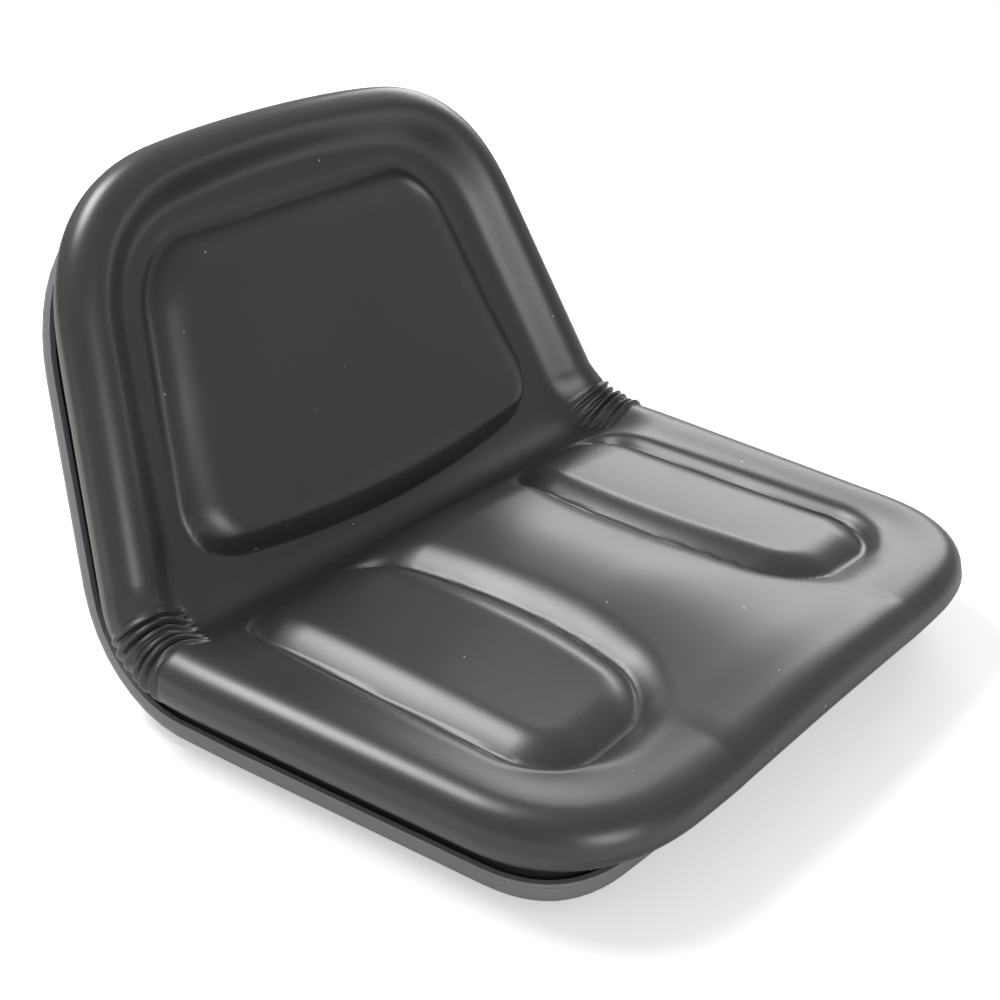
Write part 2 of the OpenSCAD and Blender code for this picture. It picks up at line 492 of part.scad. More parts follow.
// Boards: plywood, cut to the pan's line
function board_line(s0, s1) =
    let (q = half_line([-17, -17, -17, -17, -10.2], front_corner, top_corner, 12), k = q[1],
         m = concat(s0 < -pan_front ? q[0] : [[s0, lookup(s0, k)]],
                    [for (p = k) if (p[0] > s0 + 2 && p[0] < s1 - 2) p],
                    s1 > pan_top + top_bow ? q[2] : [[s1, lookup(s1, k)]]))
    spaced_pts(concat(m, [for (i = [len(m) - 1 : -1 : 0]) [m[i][0], -m[i][1]]]));
function spaced_pts(v) = [for (i = [0 : len(v) - 1]) if (norm(v[i] - v[(i + 1) % len(v)]) > 0.5) v[i]];
module board(s0, s1, ref) {
    on_sheet(ref, 0, sheet - pan_h) difference() {
        linear_extrude(board_t) polygon([for (p = board_line(s0, s1)) [p[1], p[0] - ref]]);
        for (p = screw_places) if (sign(p[0]) == sign(ref)) translate([p[1], p[0] - ref, 0]) {
            translate([0, 0, -1]) cylinder(d = screw_m + 2.6, h = board_t + 2, $fn = 32);
            translate([0, 0, board_t - nut_flange_t - 0.1]) cylinder(d = screw_m * 3 + 0.8, h = 5, $fn = 32);
        }
    }
}
module seat_board() { color("#b98f5a") board(-900, seat_board_end, -mount_s); }
module back_board() { color("#b98f5a") board(back_board_end, 900, back_screw_s); }

module tee_nut(i) {
    p = screw_places[i];
    color("#b5b3a8") on_sheet(p[0], p[1], board_top) difference() {
        union() {
            translate([0, 0, -nut_flange_t]) cylinder(d = screw_m * 3, h = nut_flange_t, $fn = 32);
            translate([0, 0, 1 - board_t]) cylinder(d = screw_m + 2, h = board_t - 1.5, $fn = 32);
        }
        translate([0, 0, -board_t]) cylinder(d = screw_m + 0.1, h = board_t + 1, $fn = 32);
    }
}
module washer(i) {
    p = screw_places[i];
    color("#a8a8a6") on_sheet(p[0], p[1], -pan_h - washer_t) difference() {
        cylinder(d = screw_m * 2.6, h = washer_t, $fn = 32);
        translate([0, 0, -1]) cylinder(d = screw_m + 0.4, h = washer_t + 2, $fn = 32);
    }
}
module screw(i) {
    p = screw_places[i];
    color("#8e8e8c") on_sheet(p[0], p[1], -pan_h - washer_t - head_h) union() {
        cylinder(d = screw_m * 1.92, h = head_h, $fn = 6);
        cylinder(d = screw_m, h = head_h + washer_t + sheet + board_t - 0.6, $fn = 32);
    }
}
module weld_nut_1() { weld_nut(0); }
module weld_nut_2() { weld_nut(1); }
module weld_nut_3() { weld_nut(2); }
module weld_nut_4() { weld_nut(3); }
module tee_nut_1() { tee_nut(0); }
module tee_nut_2() { tee_nut(1); }
module tee_nut_3() { tee_nut(2); }
module tee_nut_4() { tee_nut(3); }
module tee_nut_5() { tee_nut(4); }
module tee_nut_6() { tee_nut(5); }
module washer_1() { washer(0); }
module washer_2() { washer(1); }
module washer_3() { washer(2); }
module washer_4() { washer(3); }
module washer_5() { washer(4); }
module washer_6() { washer(5); }
module screw_1() { screw(0); }
module screw_2() { screw(1); }
module screw_3() { screw(2); }
module screw_4() { screw(3); }
module screw_5() { screw(4); }
module screw_6() { screw(5); }

seat_pan();
vinyl_cover();
foam_core();
seat_board();
back_board();
weld_nut_1();
weld_nut_2();
weld_nut_3();
weld_nut_4();
tee_nut_1();
tee_nut_2();
tee_nut_3();
tee_nut_4();
tee_nut_5();
tee_nut_6();
washer_1();
washer_2();
washer_3();
washer_4();
washer_5();
washer_6();
screw_1();
screw_2();
screw_3();
screw_4();
screw_5();
screw_6();
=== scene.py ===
import math
import bmesh
import bpy
import numpy as np
from mathutils import Matrix, Vector


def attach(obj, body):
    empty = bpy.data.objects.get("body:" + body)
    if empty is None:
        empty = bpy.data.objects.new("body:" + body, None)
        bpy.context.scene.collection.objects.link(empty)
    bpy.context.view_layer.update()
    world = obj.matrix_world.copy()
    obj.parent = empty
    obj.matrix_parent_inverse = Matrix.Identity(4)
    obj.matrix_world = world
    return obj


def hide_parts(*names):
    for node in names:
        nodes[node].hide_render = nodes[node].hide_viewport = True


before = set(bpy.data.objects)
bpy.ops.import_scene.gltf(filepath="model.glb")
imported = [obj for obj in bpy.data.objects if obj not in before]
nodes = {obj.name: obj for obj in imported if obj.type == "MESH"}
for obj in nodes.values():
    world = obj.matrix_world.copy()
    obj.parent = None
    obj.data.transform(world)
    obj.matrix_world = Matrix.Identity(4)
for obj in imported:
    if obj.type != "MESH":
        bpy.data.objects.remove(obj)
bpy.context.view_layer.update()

# Lengths are millimetres until a mesh is made, and the seat's own sheet is laid out as in the CAD:
# s runs along the seat, round the bend and up the back, x runs across, h stands off the rim plane.
BEND_R, LEAN = 85.0, math.radians(67)
BEND_L = BEND_R * LEAN / 2
BEND_CORNER = 62.0
MOUNT_S, REST_H = 178.0, -23.0
SHIFT = np.array([0.0, MOUNT_S - BEND_L, -REST_H])

PAN = dict(front=317.0, top=262.0, front_w=420.0, bend_w=464.0, top_w=350.0, bow=6.0, top_bow=13.0,
           corner=50.0, top_corner=92.0, sheet=2.0)
OVER_SIDE, OVER_FRONT, OVER_TOP, OVER_TOP_SIDE = 10.0, 27.0, 16.0, 4.0
CREST, BOLSTER = 44.0, 52.0
SEAT_LEVEL, BACK_LEVEL = 42.0, 27.0
RIDGE_H, RIDGE_W = 16.0, 120.0
SKIN = 1.8
PAD = dict(front=284.0, rear=36.0, out=174.0, inn=62.0, swing=18.0, h=2.0, bevel=24.0, corner=38.0)
PANEL = dict(top=232.0, low=40.0, sag=30.0, top_w=250.0, low_w=336.0, h=10.0, swell=12.0, corner=40.0)
GROOVE_D, GROOVE_W, SHOULDER_W = 9.0, 11.0, 26.0
PLEATS, PLEAT_PITCH, PLEAT_H, PLEAT_S = 6, 10.0, 2.4, 18.0
FOLD_A = -PLEAT_S - PLEATS * PLEAT_PITCH / 2
FOLD_B = -PLEAT_S + PLEATS * PLEAT_PITCH / 2
TUCK, TUCK_H = PAN["sheet"] + 0.7, -9.0
FOAM_IN, FOAM_ON_BOARD, FOAM_ON_PAN = 13.0, -4.7, -13.6


def at(s, x, h):
    """Places of points of the rim sheet, in millimetres."""
    s, x, h = np.broadcast_arrays(np.asarray(s, float), x, h)
    t = np.clip((s + BEND_L) / BEND_R, 0, LEAN)
    r = np.where(s < -BEND_L, s + BEND_L, np.where(s > BEND_L, s - BEND_L, 0))
    return np.stack([x, (BEND_R - h) * np.sin(t) + r * np.cos(t),
                     BEND_R - (BEND_R - h) * np.cos(t) + r * np.sin(t)], -1) + SHIFT


def clamp(v):
    return np.clip(v, 0, 1)


def ease(v):
    t = clamp(v)
    return t * t * (3 - 2 * t)


def unit(v):
    return v / np.linalg.norm(v, axis=-1, keepdims=True)


def bezier(a, c, b, n):
    t = np.linspace(0, 1, n + 1)[:, None]
    return a * (1 - t) ** 2 + 2 * c * t * (1 - t) + b * t ** 2


def half_line(grow, front_corner, top_corner, n=32):
    """Right half of an outline in [s, x] as three runs: front by x, side by s, top by x."""
    front, side_f, side_b, top, side_t = grow
    m0 = np.array([-PAN["front"] - front - PAN["bow"], 0])
    a1 = np.array([-PAN["front"] - front, PAN["front_w"] / 2 + side_f])
    a2 = np.array([-PLEAT_S, PAN["bend_w"] / 2 + side_b])
    a3 = np.array([PAN["top"] + top, PAN["top_w"] / 2 + side_t])
    m4 = np.array([PAN["top"] + top + PAN["top_bow"], 0])
    k1, k4 = np.array([m0[0], a1[1] * 0.5]), np.array([m4[0], a3[1] * 0.3])

    def corner(a, b, c, d):
        return bezier(b + unit(a - b) * d, b, b + unit(c - b) * d, n)
    c1, c2 = corner(k1, a1, a2, front_corner), corner(a1, a2, a3, BEND_CORNER)
    c3 = corner(a2, a3, k4, top_corner)
    h = n // 2
    return (np.vstack([bezier(m0, k1, c1[0], n), c1[1:h + 1]]),
            np.vstack([c1[h:], c2, c3[:h + 1]]),
            np.vstack([c3[h:-1], bezier(c3[-1], k4, m4, n)]))


# Height of the padded surface above the rim plane

def box_distance(p0, p1, b, r):
    q0, q1 = np.abs(p0) - b[0] + r, np.abs(p1) - b[1] + r
    return np.minimum(np.maximum(q0, q1), 0) + np.hypot(np.maximum(q0, 0), np.maximum(q1, 0)) - r


PAD_C = -(PAD["front"] + PAD["rear"]) / 2
PAD_HALF = ((PAD["front"] - PAD["rear"]) / 2, (PAD["out"] - PAD["inn"]) / 2)
PANEL_HALF = ((PANEL["top"] - PANEL["low"]) / 2, (PANEL["top_w"] + PANEL["low_w"]) / 4)


def pad_distance(s, x):
    a = PAD["inn"] + PAD["swing"] * np.clip((s - PAD_C) / PAD_HALF[0], -1, 1) ** 2
    k = PAD_HALF[1] / ((PAD["out"] - a) / 2)
    return box_distance(s - PAD_C, (np.abs(x) - (PAD["out"] + a) / 2) * k, PAD_HALF, PAD["corner"])


def panel_place(s, x):
    foot = PANEL["low"] - PANEL["sag"] * (1 - np.minimum(1, np.abs(x) * 2 / PANEL["low_w"]) ** 2)
    w = (PANEL["low_w"] / 2
         + (PANEL["top_w"] - PANEL["low_w"]) / 2 * (s - PANEL["low"]) / (PANEL["top"] - PANEL["low"]))
    return ((s - foot) / (PANEL["top"] - foot) * 2 - 1) * PANEL_HALF[0], x * PANEL_HALF[1] / w


def groove(d, inside, outside):
    """Depth share of a pulled-in seam: a soft V, so wide towards the pad and so wide away from it."""
    u = clamp(np.where(d < 0, -d / inside, d / outside))
    return -((1 - u) ** 2)


def top_h(s, x):
    """Height of the cushion's upper side."""
    level = SEAT_LEVEL + (BACK_LEVEL - SEAT_LEVEL) * ease((s + 90) / 90)
    ridge = (RIDGE_H * np.exp(-(x / RIDGE_W) ** 2 * 1.6) * ease((-s - 20) / 70)
             * (1 - 0.45 * ease((-s - 200) / 110)))
    d = pad_distance(s, x)
    fade = ease((-s - PAD["rear"] + 2) / 34)
    shoulder = SHOULDER_W + (GROOVE_W + 3 - SHOULDER_W) * ease((np.abs(x) - 130) / 30)
    pad = (PAD["h"] * ease(-d / PAD["bevel"]) + GROOVE_D * groove(d, PAD["bevel"], shoulder)) * fade
    p0, p1 = panel_place(s, x)
    e = box_distance(p0, p1, PANEL_HALF, PANEL["corner"])
    low = clamp(-p0 / PANEL_HALF[0])
    rise = PANEL["h"] + PANEL["swell"] * low ** 2
    panel = (rise * (1 + groove(np.minimum(e, 0), 30 - 6 * low, 1)) * (e < 0)
             - 2.5 * np.exp(-(e / 6) ** 2) * (1 - low))
    return level + ridge + pad + panel


# Bolster section from the tuck in the pan up over the crest: place, height, pleat share out, share up
SECTION = np.array([[-0.12, TUCK_H, 0, 0], [-0.12, -0.5, 0, 0], [-0.02, 3.5, 0, 0], [0.28, 7.5, 0.1, 0],
                    [0.62, 12, 0.4, 0], [0.88, 17.5, 0.9, 0], [1, 24.5, 1, 0], [1.03, 31, 1, 0.2],
                    [1.1, 36.5, 0.8, 0.6], [1.22, 40.4, 0.5, 1], [1.38, 42, 0, 1], [1.55, 41, -0.2, 0.9],
                    [1.75, 38, -0.3, 0.6], [2, 33, 0, 0]])
CREST_AT, CREST_H = 1.38, 42
COARSE = [0, 1, 3, 5, 7, 9, 10, 12, 13]  # rows of the section that the inside keeps


def catmull(p, per):
    """Smooth curve through the rows of p, with per steps between two rows."""
    q = np.vstack([p[0], p, p[-1]])
    out = []
    for i in range(len(p) - 1):
        t = np.linspace(0, 1, per, endpoint=False)[:, None]
        a, b, c, d = q[i], q[i + 1], q[i + 2], q[i + 3]
        out.append(0.5 * (2 * b + (c - a) * t + (2 * a - 5 * b + 4 * c - d) * t ** 2
                          + (3 * b - a - 3 * c + d) * t ** 3))
    return np.vstack(out + [p[-1:]])


def ray_hits(p, d, line):
    """Distance from each p along d to the nearest crossing with a polyline."""
    a, e = line[:-1], line[1:] - line[:-1]
    w = a[None] - p[:, None]
    cross = lambda u, v: u[..., 0] * v[..., 1] - u[..., 1] * v[..., 0]
    k = cross(d[:, None], e[None])
    k = np.where(np.abs(k) < 1e-6, 1e-6, k)
    t, u = cross(w, e[None]) / k, cross(w, d[:, None]) / k
    return np.where((t > 0) & (u > -1e-3) & (u < 1.001), t, 1e9).min(1)


def foot_stations(nf, ns_seat, ns_fold, ns_back, nt):
    """Stations along the bolster's foot, with the outward rays to the pan's wall and to the outer line."""
    grow = [OVER_FRONT - BOLSTER, PAD["out"] + 6 - PAN["front_w"] / 2, OVER_SIDE - BOLSTER,
            OVER_TOP - 0.75 * BOLSTER, OVER_TOP_SIDE - 0.72 * BOLSTER]
    f, g, t = half_line(grow, PAN["corner"] * 0.6, PAN["top_corner"] * 0.62)
    xf = np.linspace(0, f[-1, 1], nf + 1)
    xt = np.linspace(t[0, 1], 0, nt + 1)
    ss = np.concatenate([np.linspace(g[0, 0], FOLD_A, ns_seat + 1)[1:],
                         np.linspace(FOLD_A, FOLD_B, ns_fold + 1)[1:],
                         np.linspace(FOLD_B, g[-1, 0], ns_back + 1)[1:-1]])
    F = np.vstack([np.stack([np.interp(xf, f[:, 1], f[:, 0]), xf], 1),
                   np.stack([ss, np.interp(ss, g[:, 0], g[:, 1])], 1),
                   np.stack([np.interp(-xt, -t[:, 1], t[:, 0]), xt], 1)])
    e = unit(F[1:] - F[:-1])
    m = unit(np.vstack([[[0, 1]], e[1:] + e[:-1], [[0, -1]]]))
    D = np.stack([-m[:, 1], m[:, 0]], 1)
    # soften the turn of the rays, so that the bolster sweeps evenly round its corners
    for _ in range(6):
        D[1:-1] = unit(D[:-2] + 2 * D[1:-1] + D[2:])

    def path(parts):
        return np.vstack([[[parts[0][0, 0], -5]], parts[0], parts[1], parts[2], [[parts[2][-1, 0], -5]]])
    wall = path(half_line([-TUCK] * 4 + [-0.6 * TUCK], PAN["corner"], PAN["top_corner"]))
    outer = path(half_line([OVER_FRONT, OVER_SIDE, OVER_SIDE, OVER_TOP, OVER_TOP_SIDE],
                           PAN["corner"] * 1.7, PAN["top_corner"] * 0.92))
    return F, D, ray_hits(F, D, wall), ray_hits(F, D, outer)


def pleat(s, x):
    """Gathers where the cover turns the bend: ridges with narrow valleys, none quite like its neighbour."""
    side = np.sign(x)
    k = (s - FOLD_A) / PLEAT_PITCH
    amp = 0.82 + 0.26 * np.sin(k * 2.1 + 1.3 * side) + 0.1 * np.sin(k * 5.3)
    wave = np.abs(np.cos(np.pi * (k + 0.06 * np.sin(k * 3.7 + side))))
    wave = 1 - 2.0 * wave ** 2.2
    return PLEAT_H * wave * amp * ease((s - FOLD_A + 3) / 8) * ease((FOLD_B - s + 3) / 8)


def padded_sheet(F, D, wall, out, nf, rows, section, inset, coarse):
    """Vertices and quads of one padded sheet. Its first ring is in the tuck, its last is the bolster's foot."""
    n = len(F) - 1
    full = lambda v: np.concatenate([v, v[-2:0:-1]])
    sign = np.concatenate([np.ones(n + 1), -np.ones(n - 1)])
    Fs, Fx = full(F[:, 0]), full(F[:, 1])
    Ds, Dx, W, O = full(D[:, 0]), full(D[:, 1]), full(wall) - inset, full(out) - inset
    crest = CREST + 0.7 * np.maximum(0, top_h(Fs, Fx) - CREST)
    in_fold = (Fs > FOLD_A - 2) & (Fs < FOLD_B + 2)
    pl = np.where(in_fold, -PLEAT_H, 0.0) if coarse else pleat(Fs, sign)
    rings = []
    for q, h, so, su in section:
        t = (W + (O - W) * q if q <= 1 else O * (2 - q)) + pl * so
        s, x = Fs + Ds * t, Fx + Dx * t
        k = ease((q - CREST_AT) / (2 - CREST_AT))
        top = top_h(s, x)
        hh = (h if h <= 0 else h * crest / CREST_H) if q <= CREST_AT else crest + (top - crest) * k
        lift = -inset * clamp((q - 1) * 8) if q > 1 else (inset * (1 - q) if h > 0 else 0)
        rings.append(at(s, x * sign, hh + pl * su + lift))
    # inside the foot: a patch between the four runs of the foot line and the middle line
    front, side, top_run = F[:nf + 1], F[nf:nf + rows + 1], F[nf + rows:][::-1]
    v = (side[:, 0] - side[0, 0]) / (side[-1, 0] - side[0, 0])
    u = front[:, 1] / front[-1, 1]
    U, V = np.meshgrid(u, v)
    mid = np.stack([front[0, 0] + (top_run[0, 0] - front[0, 0]) * v, 0 * v], 1)
    G = ((1 - V)[..., None] * front[None] + V[..., None] * top_run[None] + (1 - U)[..., None] * mid[:, None]
         + U[..., None] * side[:, None]
         - ((1 - U) * (1 - V))[..., None] * front[0] - (U * (1 - V))[..., None] * front[-1]
         - ((1 - U) * V)[..., None] * top_run[0] - (U * V)[..., None] * top_run[-1])
    G = np.concatenate([G[:, :0:-1] * [1, -1], G], 1)[1:-1, 1:-1]
    if coarse:
        h = np.min([top_h(G[..., 0] + a, G[..., 1] + b) for a in (-5, 0, 5) for b in (-5, 0, 5)], 0) - inset
    else:
        h = top_h(G[..., 0], G[..., 1])
    inner = at(G[..., 0], G[..., 1], h)
    N, K, nx = 2 * n, len(section), 2 * nf
    verts = np.vstack([np.vstack(rings), inner.reshape(-1, 3)])
    idx = np.empty((rows + 1, nx + 1), int)
    base = (K - 1) * N
    idx[0] = [base + (i - nf) % N for i in range(nx + 1)]
    idx[-1] = [base + (nf + rows + nx - i) % N for i in range(nx + 1)]
    idx[:, -1] = [base + nf + j for j in range(rows + 1)]
    idx[:, 0] = [base + (N - nf - j) % N for j in range(rows + 1)]
    idx[1:-1, 1:-1] = K * N + np.arange((rows - 1) * (nx - 1)).reshape(rows - 1, nx - 1)
    r, i = np.meshgrid(np.arange(K - 1), np.arange(N), indexing="ij")
    j = (i + 1) % N
    quads = np.stack([r * N + i, r * N + j, (r + 1) * N + j, (r + 1) * N + i], -1).reshape(-1, 4)
    quads2 = np.stack([idx[:-1, :-1], idx[:-1, 1:], idx[1:, 1:], idx[1:, :-1]], -1).reshape(-1, 4)
    return verts, np.vstack([quads, quads2]), N


def mesh_object(name, verts, faces, smooth=True):
    """A mesh object at the origin, from millimetres, with its faces turned outwards."""
    me = bpy.data.meshes.new(name)
    me.from_pydata((np.asarray(verts) / 1000).tolist(), [], [list(map(int, f)) for f in faces])
    me.update()
    me.validate()
    bm = bmesh.new()
    bm.from_mesh(me)
    bmesh.ops.recalc_face_normals(bm, faces=bm.faces)
    if bm.calc_volume(signed=True) < 0:
        bmesh.ops.reverse_faces(bm, faces=bm.faces)
    bm.to_mesh(me)
    bm.free()
    me.polygons.foreach_set("use_smooth", [smooth] * len(me.polygons))
    ob = bpy.data.objects.new(name, me)
    bpy.context.scene.collection.objects.link(ob)
    return ob


def foam_mesh(F, D, wall, out, nf, rows, step):
    """The foam inside the cover, down to the boards and, at the bend, to the pan."""
    pick = np.arange(0, len(F), step)
    v, q, M = padded_sheet(F[pick], D[pick], wall[pick], out[pick], nf // step, rows // step,
                           SECTION[COARSE], SKIN + 0.4, True)
    n = len(pick) - 1
    half = F[pick] + D[pick] * (wall[pick] - FOAM_IN + TUCK)[:, None]
    line = np.vstack([half, half[-2:0:-1] * [1, -1]])
    bend = (line[:, 0] > FOLD_A - 16) & (line[:, 0] < FOLD_B + 18)
    low = at(line[:, 0], line[:, 1], np.where(bend, FOAM_ON_PAN, FOAM_ON_BOARD))
    o = len(v)
    side = [[i, (i + 1) % M, o + (i + 1) % M, o + i] for i in range(M)]
    floor_strips = [[o + i, o + i + 1, o + (M - i - 1) % M, o + (M - i) % M] for i in range(1, n - 1)]
    ends = [[o, o + 1, o + M - 1], [o + n - 1, o + n, o + n + 1]]
    return np.vstack([v, low]), [list(f) for f in q] + side + floor_strips + ends


def cover_mesh():
    """The whole moulded cover: a fine outside and a coarser inside, joined in the tuck."""
    step = 4
    nf, seat, fold, back, nt = 68, 96, 48, 92, 68
    F, D, wall, out = foot_stations(nf, seat, fold, back, nt)
    rows = seat + fold + back
    fine = catmull(SECTION, 3)
    a, qa, N = padded_sheet(F, D, wall, out, nf, rows, fine, 0.0, False)
    pick = np.arange(0, len(F), step)
    b, qb, M = padded_sheet(F[pick], D[pick], wall[pick], out[pick], nf // step, rows // step,
                            SECTION[COARSE], SKIN, True)
    o = len(a)
    rim = []
    for k in range(M):
        rim += [[k * step + i, (k * step + i + 1) % N, o + k] for i in range(step)]
        rim.append([(k + 1) * step % N, o + (k + 1) % M, o + k])
    faces = [list(f) for f in qa] + [list(f[::-1] + o) for f in qb] + rim
    verts = np.vstack([a, b])
    return verts, faces, foam_mesh(F, D, wall, out, nf, rows, step)


# Materials

def srgb(hex_code):
    """sRGB hex to linear RGBA."""
    c = [int(hex_code[i:i + 2], 16) / 255 for i in (1, 3, 5)]
    return tuple(v / 12.92 if v <= 0.04045 else ((v + 0.055) / 1.055) ** 2.4 for v in c) + (1.0,)


def add(tree, kind, inputs=(), links=(), **settings):
    """Adds a node, sets its properties and inputs, and links it to (input, output socket) pairs."""
    node = tree.nodes.new(kind)
    for k, v in settings.items():
        setattr(node, k, v)
    for k, v in dict(inputs).items():
        node.inputs[k].default_value = v
    for k, socket in dict(links).items():
        tree.links.new(socket, node.inputs[k])
    return node


def new_material(name, **shader):
    """A material with one Principled shader whose constants are set on its own sockets."""
    m = bpy.data.materials.new(name)
    m.use_nodes = True
    t = m.node_tree
    bsdf = t.nodes["Principled BSDF"]
    for k, v in shader.items():
        bsdf.inputs[k.replace("_", " ")].default_value = v
    return m, t, bsdf


MM = 1000.0


def object_coords(t):
    return add(t, "ShaderNodeTexCoord").outputs["Object"]


def vinyl():
    """Moulded expanded vinyl, black with a warm cast: a satin skin with a fine grain and a little dust."""
    m, t, b = new_material("expanded_vinyl_black", Specular_IOR_Level=0.7, IOR=1.52)
    co = object_coords(t)
    grain = add(t, "ShaderNodeTexVoronoi", {"Scale": MM / 1.3}, {"Vector": co}, feature="SMOOTH_F1")
    pores = add(t, "ShaderNodeTexNoise", {"Scale": MM / 0.8, "Detail": 2.0}, {"Vector": co})
    cloud = add(t, "ShaderNodeTexNoise", {"Scale": MM / 70, "Detail": 3.0, "Roughness": 0.55}, {"Vector": co})
    dust = add(t, "ShaderNodeTexVoronoi", {"Scale": MM / 26}, {"Vector": co}, feature="F1")
    fleck = add(t, "ShaderNodeMapRange", {"From Min": 0.022, "From Max": 0.030, "To Min": 1.0, "To Max": 0.0},
                {"Value": dust.outputs["Distance"]})
    tone = add(t, "ShaderNodeMix", {6: srgb("#2c2c2a"), 7: srgb("#343431")}, {0: cloud.outputs["Fac"]},
               data_type="RGBA")
    spot = add(t, "ShaderNodeMix", {7: srgb("#a9a89f")}, {0: fleck.outputs["Result"], 6: tone.outputs[2]},
               data_type="RGBA")
    t.links.new(spot.outputs[2], b.inputs["Base Color"])
    rough = add(t, "ShaderNodeMapRange", {"To Min": 0.32, "To Max": 0.4}, {"Value": cloud.outputs["Fac"]})
    t.links.new(rough.outputs["Result"], b.inputs["Roughness"])
    bump = add(t, "ShaderNodeBump", {"Strength": 0.12, "Distance": 0.0002},
               {"Height": grain.outputs["Distance"]})
    bump2 = add(t, "ShaderNodeBump", {"Strength": 0.1, "Distance": 0.0001},
                {"Height": pores.outputs["Fac"], "Normal": bump.outputs["Normal"]})
    t.links.new(bump2.outputs["Normal"], b.inputs["Normal"])
    return m


def enamel():
    """Grey stoved enamel on pressed steel: smooth and satin, with the faint orange peel of sprayed paint."""
    m, t, b = new_material("stoved_enamel_grey", Specular_IOR_Level=0.5, IOR=1.5)
    co = object_coords(t)
    cloud = add(t, "ShaderNodeTexNoise", {"Scale": MM / 90, "Detail": 2.0}, {"Vector": co})
    peel = add(t, "ShaderNodeTexNoise", {"Scale": MM / 2.2, "Detail": 1.0}, {"Vector": co})
    tone = add(t, "ShaderNodeMix", {6: srgb("#6f7073"), 7: srgb("#787a7c")}, {0: cloud.outputs["Fac"]},
               data_type="RGBA")
    t.links.new(tone.outputs[2], b.inputs["Base Color"])
    rough = add(t, "ShaderNodeMapRange", {"To Min": 0.36, "To Max": 0.46}, {"Value": cloud.outputs["Fac"]})
    t.links.new(rough.outputs["Result"], b.inputs["Roughness"])
    bump = add(t, "ShaderNodeBump", {"Strength": 0.06, "Distance": 0.0003}, {"Height": peel.outputs["Fac"]})
    t.links.new(bump.outputs["Normal"], b.inputs["Normal"])
    return m


def zinc():
    """Bright zinc plate on steel fasteners: pale, slightly blue, with a faint crystalline mottle."""
    m, t, b = new_material("zinc_plated_steel", Metallic=1.0)
    co = object_coords(t)
    mottle = add(t, "ShaderNodeTexVoronoi", {"Scale": MM / 1.6}, {"Vector": co})
    tone = add(t, "ShaderNodeMix", {6: srgb("#b4b7b8"), 7: srgb("#cfd1d0")}, {0: mottle.outputs["Distance"]},
               data_type="RGBA")
    t.links.new(tone.outputs[2], b.inputs["Base Color"])
    rough = add(t, "ShaderNodeMapRange", {"To Min": 0.3, "To Max": 0.45},
                {"Value": mottle.outputs["Distance"]})
    t.links.new(rough.outputs["Result"], b.inputs["Roughness"])
    return m


def birch():
    """Birch plywood boards: pale wood with a long grain."""
    m, t, b = new_material("birch_plywood", Roughness=0.7)
    co = object_coords(t)
    grain = add(t, "ShaderNodeTexWave",
                {"Scale": MM / 14, "Distortion": 6.0, "Detail": 2.0, "Detail Scale": 1.4},
                {"Vector": co}, bands_direction="X")
    tone = add(t, "ShaderNodeMix", {6: srgb("#b58f5e"), 7: srgb("#c9a878")}, {0: grain.outputs["Fac"]},
               data_type="RGBA")
    t.links.new(tone.outputs[2], b.inputs["Base Color"])
    return m


def foam():
    """Open-cell polyurethane foam: matt, pale yellow, with cells under a millimetre."""
    m, t, b = new_material("polyurethane_foam", Roughness=0.95)
    co = object_coords(t)
    cells = add(t, "ShaderNodeTexVoronoi", {"Scale": MM / 0.9}, {"Vector": co})
    tone = add(t, "ShaderNodeMix", {6: srgb("#c2b070"), 7: srgb("#e0d29a")}, {0: cells.outputs["Distance"]},
               data_type="RGBA")
    t.links.new(tone.outputs[2], b.inputs["Base Color"])
    bump = add(t, "ShaderNodeBump", {"Strength": 0.5, "Distance": 0.0004},
               {"Height": cells.outputs["Distance"]})
    t.links.new(bump.outputs["Normal"], b.inputs["Normal"])
    return m


VINYL, ENAMEL, ZINC, BIRCH, FOAM = vinyl(), enamel(), zinc(), birch(), foam()

# CAD nodes keep their shapes and get their real finishes
for name, ob in nodes.items():
    finish = (ENAMEL if name == "seat_pan" else FOAM if name == "foam_core" else
              BIRCH if name.endswith("board") else VINYL if name == "vinyl_cover" else ZINC)
    ob.data.materials.clear()
    ob.data.materials.append(finish)

verts, faces, filling = cover_mesh()
cover = mesh_object("padded_cover", verts, faces)
cover.data.materials.append(VINYL)
filler = mesh_object("foam_filling", *filling)
filler.data.materials.append(FOAM)
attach(filler, "root")
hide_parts("foam_core")
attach(cover, "root")
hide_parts("vinyl_cover")

# Camera: the photo's own view, solved from its outlines
K = 1.08
AZ, EL, ROLL, DIST = math.radians(-50.78), math.radians(27.6), math.radians(0.7), 996.8 * K
back = Vector((math.sin(AZ) * math.cos(EL), -math.cos(AZ) * math.cos(EL), math.sin(EL)))
right = Vector((math.cos(AZ), math.sin(AZ), 0))
up = back.cross(right)
r2 = math.cos(ROLL) * right + math.sin(ROLL) * up
u2 = -math.sin(ROLL) * right + math.cos(ROLL) * up
target = Vector(SHIFT) + Vector((0, 0, 120 * K)) + 37.4 * K * r2 - 63.8 * K * u2
place = (target + back * DIST) / 1000
cam_data = bpy.data.cameras.new("photo_view")
cam_data.lens, cam_data.sensor_width = 61.2, 36.0
cam_data.clip_end = 100
cam = bpy.data.objects.new("photo_view", cam_data)
rot = Matrix((r2, u2, back)).transposed().to_4x4()
cam.matrix_world = Matrix.Translation(place) @ rot
bpy.context.scene.collection.objects.link(cam)
bpy.context.scene.camera = cam


# Floor and light

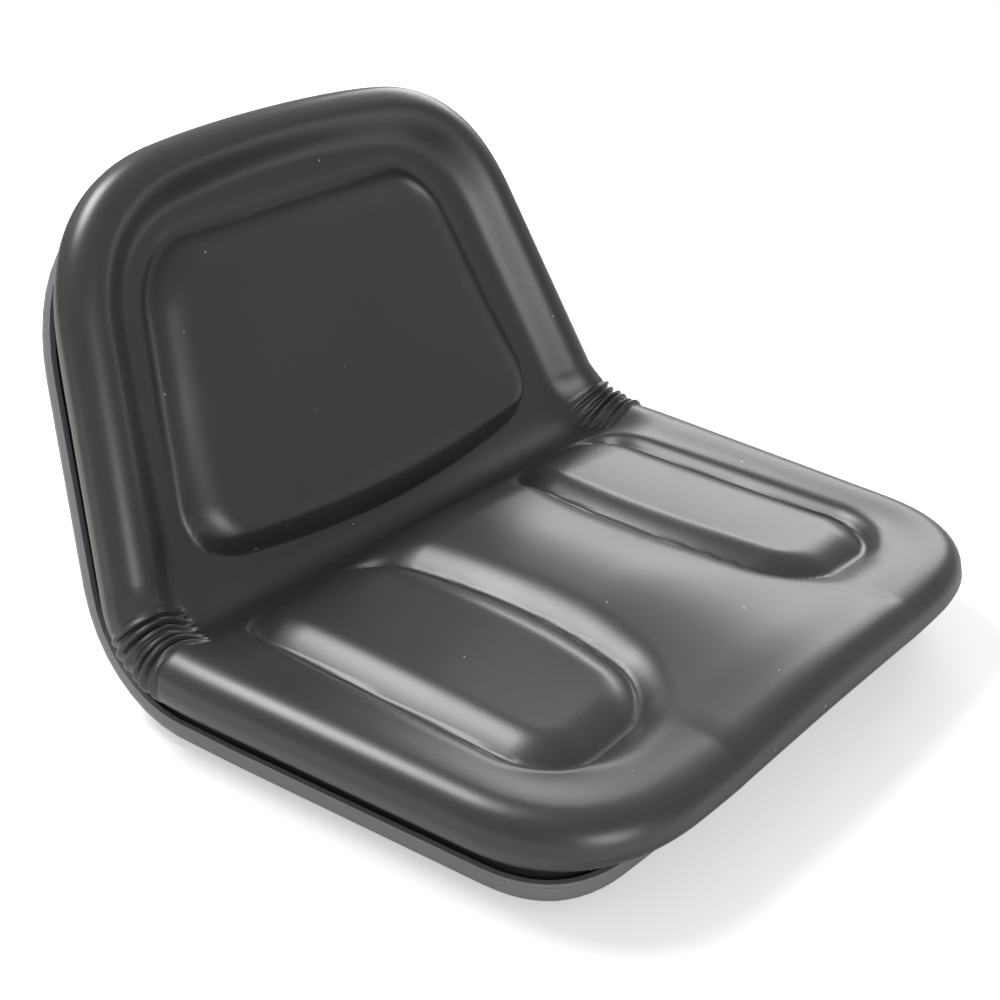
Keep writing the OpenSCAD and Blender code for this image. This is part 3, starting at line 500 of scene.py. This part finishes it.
def pale_floor():
    """Plain pale floor. What the camera sees of it is lifted towards white and keeps the shadow."""
    m = bpy.data.materials.new("pale_floor")
    m.use_nodes = True
    t = m.node_tree
    b = t.nodes["Principled BSDF"]
    b.inputs["Base Color"].default_value = srgb("#e9e9e8")
    b.inputs["Roughness"].default_value = 0.95
    b.inputs["Specular IOR Level"].default_value = 0.0
    path = add(t, "ShaderNodeLightPath")
    seen = add(t, "ShaderNodeMath", {},
               {0: path.outputs["Is Camera Ray"], 1: path.outputs["Is Transmission Ray"]},
               operation="MAXIMUM")
    glow = add(t, "ShaderNodeMath", {1: 0.45}, {0: seen.outputs[0]}, operation="MULTIPLY")
    b.inputs["Emission Color"].default_value = (1, 1, 1, 1)
    t.links.new(glow.outputs[0], b.inputs["Emission Strength"])
    return m


FLOOR_R, FLOOR_Z = 4000, -0.4
corners = [[x * FLOOR_R, y * FLOOR_R, FLOOR_Z] for x, y in ((-1, -1), (1, -1), (1, 1), (-1, 1))]
floor = mesh_object("floor", corners, [[0, 1, 2, 3]], smooth=False)
floor.data.materials.append(pale_floor())

world = bpy.data.worlds.new("studio")
world.use_nodes = True
wt = world.node_tree
bg = wt.nodes["Background"]
bg.inputs["Color"].default_value = (1, 1, 1, 1)
bg.inputs["Strength"].default_value = 0.42
path = add(wt, "ShaderNodeLightPath")
seen = add(wt, "ShaderNodeMath", {},
           {0: path.outputs["Is Camera Ray"], 1: path.outputs["Is Transmission Ray"]},
           operation="MAXIMUM")
white = add(wt, "ShaderNodeBackground", {"Color": (1, 1, 1, 1), "Strength": 1.0})
mix = add(wt, "ShaderNodeMixShader", {}, {0: seen.outputs[0], 1: bg.outputs[0], 2: white.outputs[0]})
wt.links.new(mix.outputs[0], wt.nodes["World Output"].inputs["Surface"])
bpy.context.scene.world = world


def softbox(name, spot, aim, size, watts):
    light = bpy.data.lights.new(name, "AREA")
    light.shape, light.size, light.size_y, light.energy = "RECTANGLE", size[0], size[1], watts
    ob = bpy.data.objects.new(name, light)
    turn = (Vector(spot) - Vector(aim)).to_track_quat("Z", "Y").to_matrix().to_4x4()
    ob.matrix_world = Matrix.Translation(spot) @ turn
    bpy.context.scene.collection.objects.link(ob)


AIM = Vector((0, 0.03, 0.12))
LAMPS = {  # direction from the seat, distance, width and height of the box, watts
    "top_back": ((-0.2, 0.55, 0.8), 1.9, (1.0, 0.7), 30),
    "front_left": ((-0.36, -0.9, 0.2), 1.9, (0.9, 0.8), 12),
    "right_low": ((0.85, 0.3, 0.40), 2.1, (1.5, 0.5), 16),
}
for lamp, (way, far, size, watts) in LAMPS.items():
    softbox(lamp, AIM + Vector(way).normalized() * far, AIM, size, watts)

bpy.context.scene.view_settings.view_transform = "Standard"
